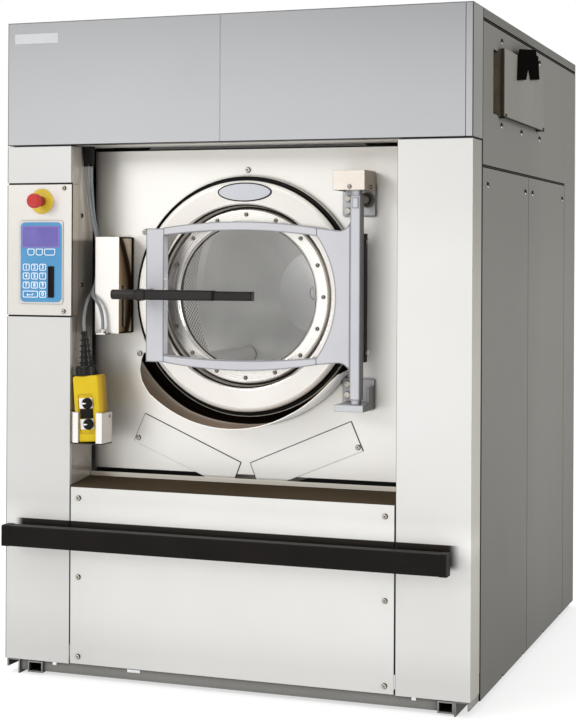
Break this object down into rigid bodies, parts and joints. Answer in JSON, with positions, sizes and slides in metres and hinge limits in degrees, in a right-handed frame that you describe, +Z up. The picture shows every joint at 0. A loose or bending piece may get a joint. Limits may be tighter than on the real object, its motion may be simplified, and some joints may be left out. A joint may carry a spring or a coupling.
{
  "type": "industrial front-loading washer-extractor",
  "caption": "Floor-standing industrial washer-extractor with a suspended drum unit behind a round glass door on a hinged yoke, column controls, pendant station and a low bumper bar.",
  "frame": {"origin": "on the floor under the middle of the cabinet", "axes": "+Z up, -Y to the front where the door is, +X to the right seen from the front"},
  "size_m": [1.3487, 1.558, 1.8],
  "materials": {
    "structural_steel": "satin",
    "stainless_front": "satin",
    "header_silver": "satin",
    "side_grey": "satin",
    "fasteners": "satin",
    "black_polymer": "satin",
    "keypad_white": "satin",
    "keypad_blue": "satin",
    "display_pane": "gloss",
    "yellow_polymer": "satin",
    "red_polymer": "satin",
    "rubber_black": "matte",
    "holder_steel": "satin",
    "cord_grey": "matte",
    "enclosure_grey": "satin",
    "tub_steel": "satin",
    "polished_ring": "polished",
    "cast_parts": "matte",
    "motor_grey": "satin",
    "yoke_paint": "satin",
    "door_pane": "clear",
    "handle_black": "satin",
    "button_black": "satin"
  },
  "bodies": {
    "cabinet": {"base_frame": "structural_steel", "upper_frame": "structural_steel", "left_column_covers": "stainless_front", "right_column_cover": "stainless_front", "control_plate": "stainless_front", "header_fascias": "header_silver", "top_covers": "side_grey", "side_panels": "side_grey", "rear_panels": "side_grey", "recess_liners": "stainless_front", "drip_sill": "stainless_front", "lower_front_panel": "stainless_front", "panel_screws": "fasteners", "bumper_bar": "black_polymer", "vent_cover": "side_grey", "keypad_bezel": "keypad_white", "keypad_membrane": "keypad_blue", "display_window": "display_pane", "e_stop_base": "yellow_polymer", "pendant_housing": "yellow_polymer", "pendant_boot": "rubber_black", "pendant_holder": "holder_steel", "cable_glands": "black_polymer", "pendant_cord": "cord_grey", "lock_cord": "cord_grey", "control_box": "enclosure_grey", "water_inlets": "holder_steel", "drain_pipe": "holder_steel", "drain_bellows": "rubber_black", "air_springs": "rubber_black"},
    "drum_unit": {"inner_front_panel": "stainless_front", "access_covers": "stainless_front", "unit_screws": "fasteners", "outer_tub": "tub_steel", "tub_front_ring": "polished_ring", "door_gasket": "rubber_black", "bearing_housing": "cast_parts", "cradle": "structural_steel", "motor_body": "motor_grey", "lock_box": "tub_steel", "hinge_brackets": "yoke_paint", "hinge_cover": "yoke_paint", "drive_belt": "rubber_black"},
    "drum": {"drum_shell": "tub_steel", "drum_front_wall": "tub_steel", "drum_rear_wall": "tub_steel", "drum_lifters": "tub_steel", "drum_shaft": "tub_steel", "drum_pulley": "cast_parts"},
    "motor_shaft": {"motor_rotor": "motor_grey"},
    "door": {"door_yoke": "yoke_paint", "hinge_bar": "yoke_paint", "door_ring": "polished_ring", "door_glass": "door_pane", "door_bolts": "fasteners"},
    "handle": {"door_handle": "handle_black"},
    "e_stop_plunger": {"e_stop_stem": "black_polymer"},
    "e_stop_mushroom": {"e_stop_head": "red_polymer"},
    "up_button": {"pendant_button_up": "button_black"},
    "down_button": {"pendant_button_down": "button_black"}
  },
  "joints": [
    {"name": "suspension", "type": "slide", "parent": "cabinet", "child": "drum_unit", "axis": [0, 0, 1], "range_m": [-0.012, 0.012], "stiffness_N_per_m": 222380, "springref_m": 0.02761, "deforming": ["air_springs", "drain_bellows", "lock_cord"]},
    {"name": "door_hinge", "type": "hinge", "parent": "drum_unit", "child": "door", "pos_m": [0.3365, -0.66, 1.05], "axis": [0, 0, 1], "range_deg": [0, 120]},
    {"name": "handle_turn", "type": "hinge", "parent": "door", "child": "handle", "pos_m": [-0.244, -0.675, 1.053], "axis": [0, 1, 0], "range_deg": [0, 90]},
    {"name": "drum_spin", "type": "hinge", "parent": "drum_unit", "child": "drum", "pos_m": [0, 0, 1.049], "axis": [0, 1, 0], "continuous": true},
    {"name": "motor_spin", "type": "hinge", "parent": "drum_unit", "child": "motor_shaft", "pos_m": [0, 0, 0.31], "axis": [0, 1, 0], "continuous": true},
    {"name": "e_stop_push", "type": "slide", "parent": "cabinet", "child": "e_stop_plunger", "axis": [0, 1, 0], "range_m": [0, 0.005], "stiffness_N_per_m": 2000},
    {"name": "e_stop_twist", "type": "hinge", "parent": "e_stop_plunger", "child": "e_stop_mushroom", "pos_m": [-0.553, -0.77, 1.306], "axis": [0, 1, 0], "range_deg": [0, 45], "stiffness_Nm_per_rad": 0.08},
    {"name": "up_press", "type": "slide", "parent": "cabinet", "child": "up_button", "axis": [0, 1, 0], "range_m": [0, 0.004], "stiffness_N_per_m": 1200},
    {"name": "down_press", "type": "slide", "parent": "cabinet", "child": "down_button", "axis": [0, 1, 0], "range_m": [0, 0.004], "stiffness_N_per_m": 1200}
  ],
  "couplings": [
    {"joint": "motor_spin", "follows": "drum_spin", "ratio": 4.3333}
  ]
}
